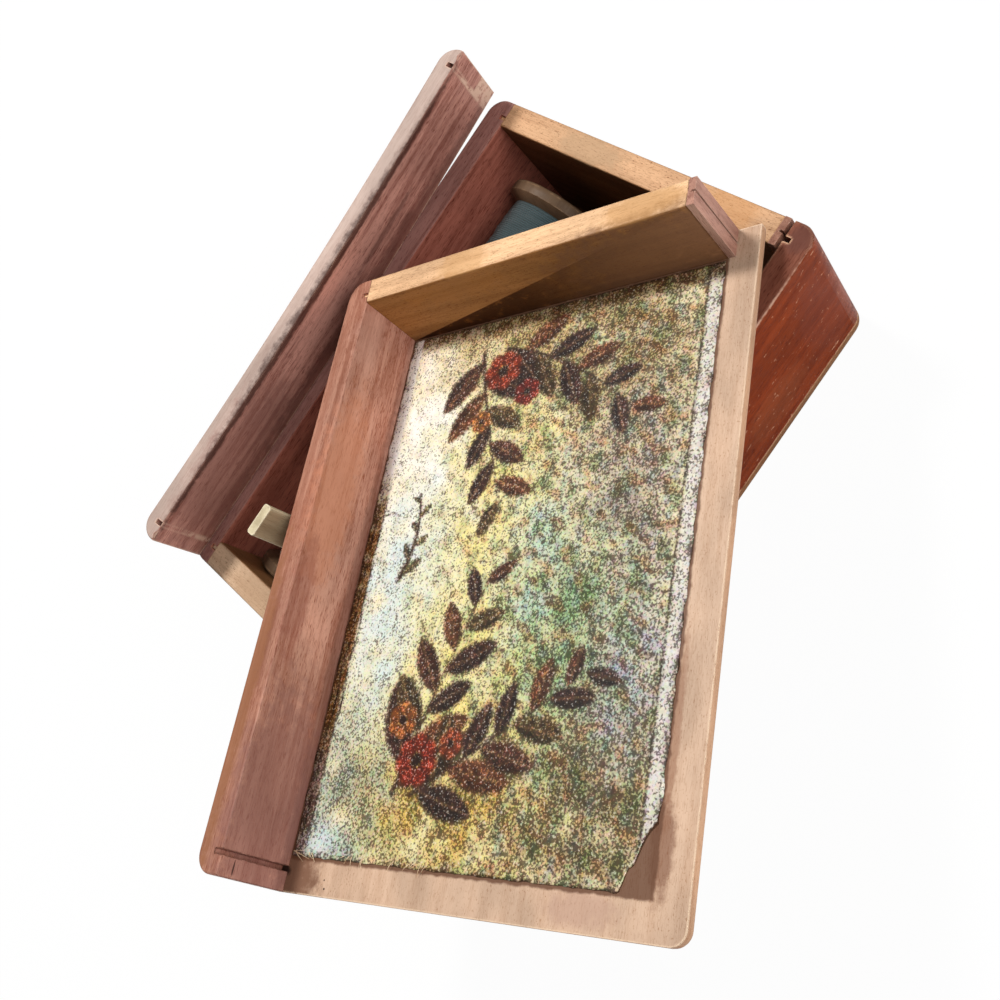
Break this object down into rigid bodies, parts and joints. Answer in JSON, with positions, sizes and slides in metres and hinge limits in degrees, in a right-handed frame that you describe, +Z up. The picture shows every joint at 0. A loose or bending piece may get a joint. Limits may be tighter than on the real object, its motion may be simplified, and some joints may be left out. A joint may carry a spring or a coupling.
{
  "type": "thread spool box",
  "caption": "Wooden thread spool box standing open, with a lined lid lying inside-up across it, a loose side rail, cotton spools and a slat.",
  "frame": {"origin": "middle of the box's underside", "axes": "+Z up, +X along the box's long walls to the right, -Y towards the front"},
  "size_m": [0.1512, 0.1477, 0.061],
  "materials": {
    "red_wood": "worn oil finish, straight grain",
    "pale_wood": "worn, fine fleck",
    "panel_wood": "bare, fine fleck",
    "strip_wood": "bare end strip",
    "lining_paper": "old printed paper, stippled",
    "slat_wood": "bare, smooth",
    "spool_wood": "turned, waxed",
    "teal_thread": "wound sewing cotton",
    "white_thread": "wound sewing cotton"
  },
  "bodies": {
    "box": {"box_floor": "pale_wood", "box_back_wall": "red_wood", "box_front_wall": "red_wood", "box_left_end": "pale_wood", "box_right_end": "pale_wood", "box_corner_strip": "strip_wood"},
    "lid": {"lid_panel": "panel_wood", "lid_back_rail": "red_wood", "lid_right_rail": "pale_wood", "lid_corner_strip": "strip_wood", "lid_lining": "lining_paper"},
    "rail": {"loose_rail": "red_wood"},
    "slat": {"slat": "slat_wood"},
    "right_spool": {"spool_right": "spool_wood", "thread_right": "teal_thread"},
    "left_spool": {"spool_left": "spool_wood", "thread_left": "white_thread"}
  },
  "joints": [
    {"name": "lid_lift", "type": "slide", "parent": "box", "child": "lid", "axis": [0, 0, 1], "range_m": [0, 0.09]},
    {"name": "rail_lift", "type": "slide", "parent": "box", "child": "rail", "axis": [0, 0, 1], "range_m": [0, 0.06]},
    {"name": "slat_lift", "type": "slide", "parent": "box", "child": "slat", "axis": [0, 0, 1], "range_m": [0, 0.05]},
    {"name": "right_spool_shift", "type": "slide", "parent": "box", "child": "right_spool", "axis": [1, 0, 0], "range_m": [0, 0.006]},
    {"name": "left_spool_shift", "type": "slide", "parent": "box", "child": "left_spool", "axis": [1, 0, 0], "range_m": [0, 0.006]}
  ]
}
